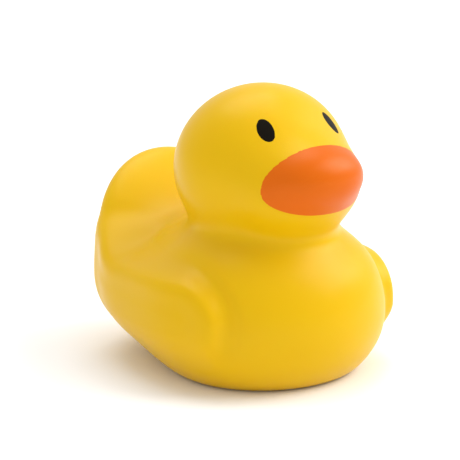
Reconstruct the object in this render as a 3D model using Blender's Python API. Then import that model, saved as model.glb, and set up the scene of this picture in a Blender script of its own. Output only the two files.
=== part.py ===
"""A hand-sized bath duck of soft vinyl, moulded as one closed body.

Metres, +Z up, beak towards -Y, standing on z = 0. The body is a row of rounded lumps (chest, rump, tail,
neck, head, cheeks and beak) that flow into one another, cut flat underneath, with a raised wing on each
side. Sizes below are in millimetres.
"""

from collections import namedtuple

import bmesh
import bpy
import numpy as np
from mathutils import Euler, Matrix, Vector

MM = 0.001

# A lump is an ellipsoid in the middle plane: the place of its middle, its half sizes along X, Y and Z, and
# how far it leans back, in degrees.
Lump = namedtuple("Lump", "y z half lean")
CHEST = Lump(-18.5, 21.5, (40.0, 35.0, 30.0), 0.0)
RUMP = Lump(8.6, 24.0, (40.9, 42.3, 21.2), 0.0)
TAIL = Lump(34.0, 35.7, (34.4, 11.5, 36.6), 31.2)
NECK = Lump(-13.2, 55.5, (18.0, 18.0, 14.0), 0.0)
HEAD = Lump(-11.7, 70.4, (31.0, 27.5, 28.0), 0.0)
CHEEKS = Lump(-33.2, 67.0, (22.0, 15.0, 16.5), 0.0)
BEAK = Lump(-42.2, 70.6, (16.5, 11.0, 9.6), 0.0)

# How widely each lump flows into what it joins.
CHEST_TO_RUMP = 38.3
TAIL_TO_BODY = 30.0
NECK_TO_HEAD = 8.5
CHEEKS_TO_HEAD = 14.5
BEAK_TO_CHEEKS = 8.0
NECK_TO_BODY = 15.0
BASE_EDGE = 3.5

# The wing is a long raised pad with a round front, its crest along the top and the front and a shallow
# groove round it. Its top edge lifts towards the tail, where the pad dies out. Lengths along it are
# measured round the side of the body, from the point beside WING_MIDDLE_Y.
WING_MIDDLE_Y = 4.0
WING_AROUND = 44.0
WING_FRONT = (-24.5, 25.6)
WING_LENGTH = 50.0
WING_RADIUS = 10.4
WING_LIFT = 11.5
WING_LIFT_ALONG = (36.0, 66.0)
WING_HEIGHT = 2.8
WING_OUTER_SLOPE = 3.5
WING_GROOVE = 1.2
WING_GROOVE_FROM_CREST = 5.2
WING_GROOVE_WIDTH = 3.2
WING_DISH_WIDTH = 8.0
WING_DISH_LEVEL = 0.55
WING_UNDERSIDE_REACH = 0.35
WING_REAR_REACH = 0.6
WING_END_ALONG = (44.0, 68.0)
WING_FADE = (5.0, 18.0)
WING_START_X = (16.0, 28.0)

# The skin's faces are squares of about SKIN_GRID. Its points are evened out and brought onto the shape in
# rounds, and those as near the floor as FLAT_WITHIN make the flat that the duck stands on.
SKIN_GRID = 3.2
SKIN_ROUNDS = 2
SETTLE_ROUNDS = 10
RELAX = 0.4
PROBE = 0.02
FLAT_WITHIN = 0.03

YELLOW = (0.725, 0.435, 0.002, 1.0)
ROUGHNESS = 0.34


def clear_scene():
    for obj in list(bpy.data.objects):
        bpy.data.objects.remove(obj, do_unlink=True)


def distance_to_lump(points, lump):
    """About how far each point is outside the lump; negative inside it."""
    lean = np.radians(lump.lean)
    y = points[:, 1] - lump.y
    z = points[:, 2] - lump.z
    own = np.column_stack(
        (points[:, 0], y * np.cos(lean) - z * np.sin(lean), y * np.sin(lean) + z * np.cos(lean))
    )
    half = np.array(lump.half)
    scaled = np.linalg.norm(own / half, axis=1)
    slope = np.linalg.norm(own / half**2, axis=1)
    return scaled * (scaled - 1.0) / np.maximum(slope, 1e-9)


def blend(first, second, width):
    """The union of two shapes, with a rounded valley of this width between them."""
    near = np.maximum(width - np.abs(first - second), 0.0) / width
    return np.minimum(first, second) - near**3 * width / 6.0


def ease(value, start, end):
    part = np.clip((value - start) / (end - start), 0.0, 1.0)
    return part * part * (3.0 - 2.0 * part)


def wing_height(points):
    """How far the wings stand out of the body at each point."""
    side = np.abs(points[:, 0])
    along = WING_AROUND * np.arctan2(points[:, 1] - WING_MIDDLE_Y, side + 1e-9) - WING_FRONT[0]
    across = points[:, 2] - WING_FRONT[1] - WING_LIFT * ease(along, *WING_LIFT_ALONG)
    past_ends = np.minimum(along, 0.0) + WING_REAR_REACH * np.maximum(along - WING_LENGTH, 0.0)
    reach = np.where(across > 0.0, across, across * WING_UNDERSIDE_REACH)
    outside = np.hypot(past_ends, reach) - WING_RADIUS
    groove = np.exp(-(((outside - WING_GROOVE_FROM_CREST) / WING_GROOVE_WIDTH) ** 2))
    slope = np.exp(-((outside / WING_OUTER_SLOPE) ** 2)) - WING_GROOVE / WING_HEIGHT * groove
    dish = WING_DISH_LEVEL + (1.0 - WING_DISH_LEVEL) * ease(outside, -WING_DISH_WIDTH, 0.0)
    profile = np.where(outside > 0.0, slope, dish - WING_GROOVE / WING_HEIGHT * groove)
    fade = ease(across, -WING_FADE[1], -WING_FADE[0]) * ease(side, *WING_START_X)
    return WING_HEIGHT * profile * fade * (1.0 - ease(along, *WING_END_ALONG))


def distance_to_duck(points):
    """About how far each point is outside the duck's skin; negative inside it."""
    body = blend(distance_to_lump(points, CHEST), distance_to_lump(points, RUMP), CHEST_TO_RUMP)
    body = blend(body, distance_to_lump(points, TAIL), TAIL_TO_BODY)
    body = body - wing_height(points)
    body = -blend(-body, points[:, 2], BASE_EDGE)
    head = blend(distance_to_lump(points, HEAD), distance_to_lump(points, CHEEKS), CHEEKS_TO_HEAD)
    head = blend(head, distance_to_lump(points, NECK), NECK_TO_HEAD)
    head = blend(head, distance_to_lump(points, BEAK), BEAK_TO_CHEEKS)
    return blend(body, head, NECK_TO_BODY)


def even_faces(mesh):
    """The mesh as one closed skin of even faces; it takes over from the one given."""
    shape = bpy.data.objects.new("uneven", mesh)
    bpy.context.collection.objects.link(shape)
    remesh = shape.modifiers.new("even_faces", "REMESH")
    remesh.mode = "VOXEL"
    remesh.voxel_size = SKIN_GRID
    graph = bpy.context.evaluated_depsgraph_get()
    skin = bpy.data.meshes.new_from_object(shape.evaluated_get(graph))
    bpy.data.objects.remove(shape, do_unlink=True)
    return skin


def overlapping_balls():
    """Each lump as a stretched ball, with all that would be under the floor cut off."""
    builder = bmesh.new()
    for lump in (CHEST, RUMP, TAIL, NECK, HEAD, CHEEKS, BEAK):
        place = Matrix.Translation((0.0, lump.y, lump.z))
        turn = Euler((-np.radians(lump.lean), 0.0, 0.0)).to_matrix().to_4x4()
        size = Matrix.Diagonal((*lump.half, 1.0))
        bmesh.ops.create_uvsphere(
            builder, u_segments=48, v_segments=24, radius=1.0, matrix=place @ turn @ size
        )
    bmesh.ops.bisect_plane(
        builder,
        geom=builder.verts[:] + builder.edges[:] + builder.faces[:],
        plane_co=Vector((0.0, 0.0, 0.0)),
        plane_no=Vector((0.0, 0.0, 1.0)),
        clear_inner=True,
    )
    bmesh.ops.holes_fill(builder, edges=[edge for edge in builder.edges if edge.is_boundary])
    mesh = bpy.data.meshes.new("balls")
    builder.to_mesh(mesh)
    builder.free()
    return mesh


def settle(mesh):
    """Evens out the mesh's points along the duck's skin and brings each onto it."""
    points = np.empty(len(mesh.vertices) * 3)
    mesh.vertices.foreach_get("co", points)
    points = points.reshape(-1, 3)
    edges = np.empty(len(mesh.edges) * 2, dtype=np.int64)
    mesh.edges.foreach_get("vertices", edges)
    edges = edges.reshape(-1, 2)
    neighbours = np.bincount(edges.ravel(), minlength=len(points))[:, None]
    for _ in range(SETTLE_ROUNDS):
        total = np.zeros_like(points)
        np.add.at(total, edges[:, 0], points[edges[:, 1]])
        np.add.at(total, edges[:, 1], points[edges[:, 0]])
        points = points + RELAX * (total / neighbours - points)
        for _ in range(2):
            value = distance_to_duck(points)
            slope = np.column_stack(
                [(distance_to_duck(points + PROBE * axis) - value) / PROBE for axis in np.eye(3)]
            )
            points = points - slope * (value / np.sum(slope**2, axis=1))[:, None]
    mesh.vertices.foreach_set("co", points.ravel())
    return points


def vinyl():
    material = bpy.data.materials.new("yellow_vinyl")
    material.use_nodes = True
    shader = material.node_tree.nodes["Principled BSDF"]
    shader.inputs["Base Color"].default_value = YELLOW
    shader.inputs["Roughness"].default_value = ROUGHNESS
    shader.inputs["Metallic"].default_value = 0.0
    return material


def make_duck():
    skin = overlapping_balls()
    for _ in range(SKIN_ROUNDS):
        skin = even_faces(skin)
        points = settle(skin)
    low, high = points.min(axis=0), points.max(axis=0)
    points -= ((low[0] + high[0]) / 2.0, (low[1] + high[1]) / 2.0, low[2])
    points[points[:, 2] < FLAT_WITHIN, 2] = 0.0
    skin.vertices.foreach_set("co", (points * MM).ravel())
    skin.name = "duck"
    skin.materials.clear()
    skin.materials.append(vinyl())
    skin.shade_smooth()
    duck = bpy.data.objects.new("duck", skin)
    bpy.context.collection.objects.link(duck)


clear_scene()
make_duck()
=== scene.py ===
"""The bath duck as the eye sees it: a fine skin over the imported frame, with a painted beak and eyes."""

import math
from collections import namedtuple

import bmesh
import bpy
import numpy as np
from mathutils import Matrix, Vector


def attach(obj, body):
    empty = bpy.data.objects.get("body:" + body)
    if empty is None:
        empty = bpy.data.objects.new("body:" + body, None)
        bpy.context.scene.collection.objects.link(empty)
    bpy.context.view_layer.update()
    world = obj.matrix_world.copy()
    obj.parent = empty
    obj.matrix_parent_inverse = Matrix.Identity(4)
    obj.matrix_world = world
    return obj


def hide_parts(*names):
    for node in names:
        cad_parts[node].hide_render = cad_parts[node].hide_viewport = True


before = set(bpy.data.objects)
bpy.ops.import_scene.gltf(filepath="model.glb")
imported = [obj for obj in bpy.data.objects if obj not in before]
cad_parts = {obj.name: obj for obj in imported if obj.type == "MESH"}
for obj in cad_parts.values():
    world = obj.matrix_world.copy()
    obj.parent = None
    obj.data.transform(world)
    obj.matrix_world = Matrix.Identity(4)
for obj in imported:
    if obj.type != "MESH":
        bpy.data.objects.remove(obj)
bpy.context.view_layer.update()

MM = 0.001

# ---------------------------------------------------------------------------------------------------------
# Shape. Sizes are in millimetres, and the lumps are the ones that part.py builds the solid from.
# ---------------------------------------------------------------------------------------------------------

# A lump is an ellipsoid in the middle plane: the place of its middle, its half sizes along X, Y and Z, and
# how far it leans back, in degrees.
Lump = namedtuple("Lump", "y z half lean")
CHEST = Lump(-18.5, 21.5, (40.0, 35.0, 30.0), 0.0)
RUMP = Lump(8.6, 24.0, (40.9, 42.3, 21.2), 0.0)
TAIL = Lump(34.0, 35.7, (34.4, 11.5, 36.6), 31.2)
NECK = Lump(-13.2, 55.5, (18.0, 18.0, 14.0), 0.0)
HEAD = Lump(-11.7, 70.4, (31.0, 27.5, 28.0), 0.0)
CHEEKS = Lump(-33.2, 67.0, (22.0, 15.0, 16.5), 0.0)
BEAK = Lump(-42.2, 70.6, (16.5, 11.0, 9.6), 0.0)

# How widely each lump flows into what it joins.
CHEST_TO_RUMP = 38.3
TAIL_TO_BODY = 30.0
NECK_TO_HEAD = 8.5
CHEEKS_TO_HEAD = 14.5
BEAK_TO_CHEEKS = 8.0
NECK_TO_BODY = 15.0
BASE_EDGE = 3.5

# The wing is a long raised pad with a round front, its crest along the top and the front and a shallow
# groove round it. Its top edge lifts towards the tail, where the pad dies out. Lengths along it are
# measured round the side of the body, from the point beside WING_MIDDLE_Y.
WING_MIDDLE_Y = 4.0
WING_AROUND = 44.0
WING_FRONT = (-24.5, 25.6)
WING_LENGTH = 50.0
WING_RADIUS = 10.4
WING_LIFT = 11.5
WING_LIFT_ALONG = (36.0, 66.0)
WING_HEIGHT = 2.8
WING_OUTER_SLOPE = 3.5
WING_GROOVE = 1.2
WING_GROOVE_FROM_CREST = 5.2
WING_GROOVE_WIDTH = 3.2
WING_DISH_WIDTH = 8.0
WING_DISH_LEVEL = 0.55
WING_UNDERSIDE_REACH = 0.35
WING_REAR_REACH = 0.6
WING_END_ALONG = (44.0, 68.0)
WING_FADE = (5.0, 18.0)
WING_START_X = (16.0, 28.0)

# The fine skin: faces of about SKIN_GRID, brought onto the shape in a few rounds.
SKIN_GRID = 0.9
SETTLE_ROUNDS = 4
RELAX = 0.35
PROBE = 0.02

# Where paint ends, points nearer the line than this part of a face move onto it, in a few rounds.
SNAP_WITHIN = 0.25
SNAP_ROUNDS = 3

# The beak's paint, seen from the front: its widest points, and how far it reaches up and down from them.
BEAK_PAINT_Z = 67.9
BEAK_PAINT_HALF_WIDTH = 20.9
BEAK_PAINT_UP = 13.7
BEAK_PAINT_DOWN = 8.4
BEAK_PAINT_POWER_UP = 2.0
BEAK_PAINT_POWER_DOWN = 2.3

# Each eye is an oval, seen from the front: its middle, its half sizes, and how it falls away outwards.
EYE_MIDDLE = (13.5, 86.2)
EYE_HALF = (2.5, 3.0)
EYE_FALL = 0.5


def distance_to_lump(points, lump):
    """About how far each point is outside the lump; negative inside it."""
    lean = math.radians(lump.lean)
    y = points[:, 1] - lump.y
    z = points[:, 2] - lump.z
    own = np.column_stack(
        (points[:, 0], y * math.cos(lean) - z * math.sin(lean), y * math.sin(lean) + z * math.cos(lean))
    )
    half = np.array(lump.half)
    scaled = np.linalg.norm(own / half, axis=1)
    slope = np.linalg.norm(own / half**2, axis=1)
    return scaled * (scaled - 1.0) / np.maximum(slope, 1e-9)


def blend(first, second, width):
    """The union of two shapes, with a rounded valley of this width between them."""
    near = np.maximum(width - np.abs(first - second), 0.0) / width
    return np.minimum(first, second) - near**3 * width / 6.0


def ease(value, start, end):
    part = np.clip((value - start) / (end - start), 0.0, 1.0)
    return part * part * (3.0 - 2.0 * part)


def wing_height(points):
    """How far the wings stand out of the body at each point."""
    side = np.abs(points[:, 0])
    along = WING_AROUND * np.arctan2(points[:, 1] - WING_MIDDLE_Y, side + 1e-9) - WING_FRONT[0]
    across = points[:, 2] - WING_FRONT[1] - WING_LIFT * ease(along, *WING_LIFT_ALONG)
    past_ends = np.minimum(along, 0.0) + WING_REAR_REACH * np.maximum(along - WING_LENGTH, 0.0)
    reach = np.where(across > 0.0, across, across * WING_UNDERSIDE_REACH)
    outside = np.hypot(past_ends, reach) - WING_RADIUS
    groove = np.exp(-(((outside - WING_GROOVE_FROM_CREST) / WING_GROOVE_WIDTH) ** 2))
    slope = np.exp(-((outside / WING_OUTER_SLOPE) ** 2)) - WING_GROOVE / WING_HEIGHT * groove
    dish = WING_DISH_LEVEL + (1.0 - WING_DISH_LEVEL) * ease(outside, -WING_DISH_WIDTH, 0.0)
    profile = np.where(outside > 0.0, slope, dish - WING_GROOVE / WING_HEIGHT * groove)
    fade = ease(across, -WING_FADE[1], -WING_FADE[0]) * ease(side, *WING_START_X)
    return WING_HEIGHT * profile * fade * (1.0 - ease(along, *WING_END_ALONG))


def distance_to_duck(points):
    """About how far each point is outside the duck's skin; negative inside it."""
    body = blend(distance_to_lump(points, CHEST), distance_to_lump(points, RUMP), CHEST_TO_RUMP)
    body = blend(body, distance_to_lump(points, TAIL), TAIL_TO_BODY)
    body = body - wing_height(points)
    body = -blend(-body, points[:, 2], BASE_EDGE)
    head = blend(distance_to_lump(points, HEAD), distance_to_lump(points, CHEEKS), CHEEKS_TO_HEAD)
    head = blend(head, distance_to_lump(points, NECK), NECK_TO_HEAD)
    head = blend(head, distance_to_lump(points, BEAK), BEAK_TO_CHEEKS)
    return blend(body, head, NECK_TO_BODY)


def slope_of(shape, points):
    value = shape(points)
    return np.column_stack([(shape(points + PROBE * axis) - value) / PROBE for axis in np.eye(3)])


def onto_skin(points, rounds=2):
    for _ in range(rounds):
        slope = slope_of(distance_to_duck, points)
        points = points - slope * (distance_to_duck(points) / np.sum(slope**2, axis=1))[:, None]
    return points


def beak_paint(points):
    """Negative where the beak is painted."""
    up = points[:, 2] >= BEAK_PAINT_Z
    reach = np.where(up, BEAK_PAINT_UP, BEAK_PAINT_DOWN)
    power = np.where(up, BEAK_PAINT_POWER_UP, BEAK_PAINT_POWER_DOWN)
    across = np.abs(points[:, 0]) / BEAK_PAINT_HALF_WIDTH
    along = np.abs(points[:, 2] - BEAK_PAINT_Z) / reach
    ring = (across**power + along**power) ** (1.0 / power) - 1.0
    return np.where(points[:, 1] < HEAD.y, ring * BEAK_PAINT_DOWN, 1.0)


def eye_paint(points):
    """Negative where an eye is painted."""
    across = np.abs(points[:, 0]) - EYE_MIDDLE[0]
    along = points[:, 2] - EYE_MIDDLE[1] + EYE_FALL * across
    ring = np.hypot(across / EYE_HALF[0], along / EYE_HALF[1]) - 1.0
    return np.where(points[:, 1] < HEAD.y, ring * EYE_HALF[0], 1.0)


def coordinates(mesh):
    points = np.empty(len(mesh.vertices) * 3)
    mesh.vertices.foreach_get("co", points)
    return points.reshape(-1, 3)


def fine_skin():
    """The CAD solid's own skin, remade in small even faces and settled onto the smooth shape."""
    shape = bpy.data.objects.new("fine_skin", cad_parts["duck"].data.copy())
    bpy.context.scene.collection.objects.link(shape)
    remesh = shape.modifiers.new("even_faces", "REMESH")
    remesh.mode = "VOXEL"
    remesh.voxel_size = SKIN_GRID * MM
    graph = bpy.context.evaluated_depsgraph_get()
    mesh = bpy.data.meshes.new_from_object(shape.evaluated_get(graph))
    bpy.data.objects.remove(shape, do_unlink=True)
    points = coordinates(mesh) / MM
    edges = np.empty(len(mesh.edges) * 2, dtype=np.int64)
    mesh.edges.foreach_get("vertices", edges)
    edges = edges.reshape(-1, 2)
    neighbours = np.bincount(edges.ravel(), minlength=len(points))[:, None]
    for _ in range(SETTLE_ROUNDS):
        total = np.zeros_like(points)
        np.add.at(total, edges[:, 0], points[edges[:, 1]])
        np.add.at(total, edges[:, 1], points[edges[:, 0]])
        points = onto_skin(points + RELAX * (total / neighbours - points))
    mesh.vertices.foreach_set("co", (points * MM).ravel())
    return mesh


def cut_along(builder, paint):
    """Gives the skin a line of edges where the paint ends."""
    points = np.array([vert.co for vert in builder.verts]) / MM
    value = paint(points)
    slope = slope_of(paint, points)
    near = np.abs(value) < SNAP_WITHIN * SKIN_GRID * np.linalg.norm(slope, axis=1)
    moved = points[near]
    for _ in range(SNAP_ROUNDS):
        slope = slope_of(paint, moved)
        moved = onto_skin(moved - slope * (paint(moved) / np.sum(slope**2, axis=1))[:, None])
    points[near] = moved
    value[near] = 0.0
    on_line = []
    for index in np.flatnonzero(near):
        vert = builder.verts[index]
        vert.co = points[index] * MM
        on_line.append(vert)
    side = np.sign(value)
    crossed = [face for face in builder.faces if np.ptp(side[[vert.index for vert in face.verts]]) > 0]
    bmesh.ops.triangulate(builder, faces=crossed)
    for edge in list(builder.edges):
        start, end = edge.verts
        if value[start.index] * value[end.index] < 0.0:
            part = value[start.index] / (value[start.index] - value[end.index])
            _, vert = bmesh.utils.edge_split(edge, start, part)
            on_line.append(vert)
    bmesh.ops.connect_verts(builder, verts=on_line)
    builder.verts.index_update()
    builder.verts.ensure_lookup_table()


def make_duck(vinyl, beak, eye):
    mesh = fine_skin()
    mesh.materials.clear()
    for material in (vinyl, beak, eye):
        mesh.materials.append(material)
    builder = bmesh.new()
    builder.from_mesh(mesh)
    builder.verts.ensure_lookup_table()
    for paint in (beak_paint, eye_paint):
        cut_along(builder, paint)
    middles = np.array([face.calc_center_median() for face in builder.faces]) / MM
    painted_beak = beak_paint(middles) < 0.0
    painted_eye = eye_paint(middles) < 0.0
    for face, is_beak, is_eye in zip(builder.faces, painted_beak, painted_eye):
        face.material_index = 1 if is_beak else 2 if is_eye else 0
        face.smooth = True
    bmesh.ops.triangulate(builder, faces=[face for face in builder.faces if len(face.verts) > 4])
    builder.to_mesh(mesh)
    builder.free()
    points = onto_skin(coordinates(mesh) / MM)
    mesh.vertices.foreach_set("co", (points * MM).ravel())
    mesh.name = "duck_skin"
    duck = bpy.data.objects.new("duck_skin", mesh)
    bpy.context.scene.collection.objects.link(duck)
    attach(duck, "root")
    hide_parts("duck")


# ---------------------------------------------------------------------------------------------------------
# Materials
# ---------------------------------------------------------------------------------------------------------

# Each colour drifts slowly between a pair of shades, and each gloss between a pair of roughness values.
YELLOW = ((0.715, 0.425, 0.001), (0.735, 0.445, 0.002))
ORANGE = ((0.650, 0.112, 0.001), (0.675, 0.126, 0.002))
BLACK = ((0.004, 0.003, 0.002), (0.006, 0.004, 0.003))
PALE = ((0.93, 0.93, 0.93), (0.95, 0.95, 0.95))
SATIN = (0.30, 0.37)
EYE_SATIN = (0.34, 0.40)
FLOOR_ROUGHNESS = 0.9

# How fine each pattern is, in repeats a metre, and how deep the moulded grain is, in metres.
DRIFT_SCALE = 28.0
GLOSS_SCALE = 160.0
GRAIN_SCALE = 1400.0
FLOOR_SCALE = 3.0
GRAIN_DEPTH = 0.00005

# A noise pattern keeps mostly between these values.
NOISE_RANGE = (0.3, 0.7)

# The vinyl's shine and how far light spreads inside it: red furthest, and blue hardly at all.
SHINE_TINT = (1.0, 0.92, 0.6, 1.0)
SPREAD = (1.0, 0.45, 0.08)
SPREAD_SCALE = 0.004


def new_material(name):
    material = bpy.data.materials.new(name)
    material.use_nodes = True
    tree = material.node_tree
    return material, tree, tree.nodes["Principled BSDF"]


def noise(tree, scale, detail=2.0, roughness=0.5):
    place = tree.nodes.new("ShaderNodeTexCoord")
    texture = tree.nodes.new("ShaderNodeTexNoise")
    texture.inputs["Scale"].default_value = scale
    texture.inputs["Detail"].default_value = detail
    texture.inputs["Roughness"].default_value = roughness
    tree.links.new(place.outputs["Object"], texture.inputs["Vector"])
    return texture.outputs["Fac"]


def mixed_colour(tree, factor, first, second):
    mix = tree.nodes.new("ShaderNodeMix")
    mix.data_type = "RGBA"
    tree.links.new(factor, mix.inputs["Factor"])
    mix.inputs["A"].default_value = (*first, 1.0)
    mix.inputs["B"].default_value = (*second, 1.0)
    return mix.outputs["Result"]


def ranged(tree, value, low, high):
    remap = tree.nodes.new("ShaderNodeMapRange")
    tree.links.new(value, remap.inputs["Value"])
    remap.inputs["From Min"].default_value = NOISE_RANGE[0]
    remap.inputs["From Max"].default_value = NOISE_RANGE[1]
    remap.inputs["To Min"].default_value = low
    remap.inputs["To Max"].default_value = high
    return remap.outputs["Result"]


def soft_plastic(name, shades, roughness, grain, subsurface, shine):
    """Satin soft plastic: a slow drift of colour, uneven gloss and a fine moulded grain."""
    material, tree, shader = new_material(name)
    drift = noise(tree, DRIFT_SCALE, detail=3.0)
    tree.links.new(mixed_colour(tree, drift, *shades), shader.inputs["Base Color"])
    gloss = noise(tree, GLOSS_SCALE, detail=3.0, roughness=0.6)
    tree.links.new(ranged(tree, gloss, *roughness), shader.inputs["Roughness"])
    bump = tree.nodes.new("ShaderNodeBump")
    bump.inputs["Strength"].default_value = grain
    bump.inputs["Distance"].default_value = GRAIN_DEPTH
    tree.links.new(noise(tree, GRAIN_SCALE), bump.inputs["Height"])
    tree.links.new(bump.outputs["Normal"], shader.inputs["Normal"])
    shader.inputs["Specular IOR Level"].default_value = shine
    shader.inputs["Specular Tint"].default_value = SHINE_TINT
    shader.inputs["Subsurface Weight"].default_value = subsurface
    shader.inputs["Subsurface Radius"].default_value = SPREAD
    shader.inputs["Subsurface Scale"].default_value = SPREAD_SCALE
    return material


def floor_material():
    material, tree, shader = new_material("pale_floor")
    shade = mixed_colour(tree, noise(tree, FLOOR_SCALE), *PALE)
    tree.links.new(shade, shader.inputs["Base Color"])
    shader.inputs["Roughness"].default_value = FLOOR_ROUGHNESS
    shader.inputs["Specular IOR Level"].default_value = 0.0
    return material


# ---------------------------------------------------------------------------------------------------------
# Setting: floor, camera and lights. Lengths are in metres and angles in degrees; the sensor and the lens
# are in millimetres.
# ---------------------------------------------------------------------------------------------------------

FLOOR_HALF = 30.0
CAMERA_AIM = (0.0, 0.00675, 0.044)
CAMERA_AZIMUTH = -35.6
CAMERA_ELEVATION = 13.15
CAMERA_DISTANCE = 0.538
CAMERA_SENSOR = 36.0
CAMERA_LENS = 118.7

# The studio: an even pale surrounding and three large softboxes, with their power in watts.
SURROUNDING = 0.8
SOFTBOX_DISTANCE = 8.0
SOFTBOX_TARGET = (0.0, 0.0, 0.04)
Softbox = namedtuple("Softbox", "name azimuth elevation size power")
SOFTBOXES = (
    Softbox("key", 55.0, 42.0, (5.0, 5.0), 355.0),
    Softbox("side", 80.0, 32.0, (4.0, 4.0), 110.0),
    Softbox("overhead", 160.0, 70.0, (6.0, 5.0), 240.0),
)


def direction(azimuth, elevation):
    """Towards a place seen from the duck: azimuth 0 is ahead of the beak, and it grows towards +X."""
    turn = math.radians(azimuth)
    rise = math.radians(elevation)
    return Vector((math.sin(turn) * math.cos(rise), -math.cos(turn) * math.cos(rise), math.sin(rise)))


def aim(obj, target):
    obj.rotation_euler = (Vector(target) - obj.location).to_track_quat("-Z", "Y").to_euler()


def make_softbox(box):
    light = bpy.data.lights.new(box.name, "AREA")
    light.shape = "RECTANGLE"
    light.size, light.size_y = box.size
    light.energy = box.power
    lamp = bpy.data.objects.new(box.name, light)
    lamp.location = Vector(SOFTBOX_TARGET) + SOFTBOX_DISTANCE * direction(box.azimuth, box.elevation)
    aim(lamp, SOFTBOX_TARGET)
    bpy.context.scene.collection.objects.link(lamp)


def make_floor():
    mesh = bpy.data.meshes.new("floor")
    corners = [(x * FLOOR_HALF, y * FLOOR_HALF, 0.0) for x, y in ((-1, -1), (1, -1), (1, 1), (-1, 1))]
    mesh.from_pydata(corners, [], [(0, 1, 2, 3)])
    mesh.materials.append(floor_material())
    floor = bpy.data.objects.new("floor", mesh)
    bpy.context.scene.collection.objects.link(floor)


def make_world():
    world = bpy.data.worlds.new("studio")
    world.use_nodes = True
    background = world.node_tree.nodes["Background"]
    background.inputs["Color"].default_value = (1.0, 1.0, 1.0, 1.0)
    background.inputs["Strength"].default_value = SURROUNDING
    bpy.context.scene.world = world


def make_camera():
    lens = bpy.data.cameras.new("camera")
    lens.sensor_width = CAMERA_SENSOR
    lens.lens = CAMERA_LENS
    lens.clip_start = 0.01
    camera = bpy.data.objects.new("camera", lens)
    camera.location = Vector(CAMERA_AIM) + CAMERA_DISTANCE * direction(CAMERA_AZIMUTH, CAMERA_ELEVATION)
    aim(camera, CAMERA_AIM)
    bpy.context.scene.collection.objects.link(camera)
    bpy.context.scene.camera = camera


make_camera()
make_duck(
    soft_plastic("yellow_vinyl", YELLOW, SATIN, grain=0.25, subsurface=0.15, shine=0.2),
    soft_plastic("orange_paint", ORANGE, SATIN, grain=0.25, subsurface=0.05, shine=0.2),
    soft_plastic("eye_paint", BLACK, EYE_SATIN, grain=0.2, subsurface=0.0, shine=0.06),
)
make_floor()
make_world()
for box in SOFTBOXES:
    make_softbox(box)
bpy.context.scene.view_settings.view_transform = "Standard"
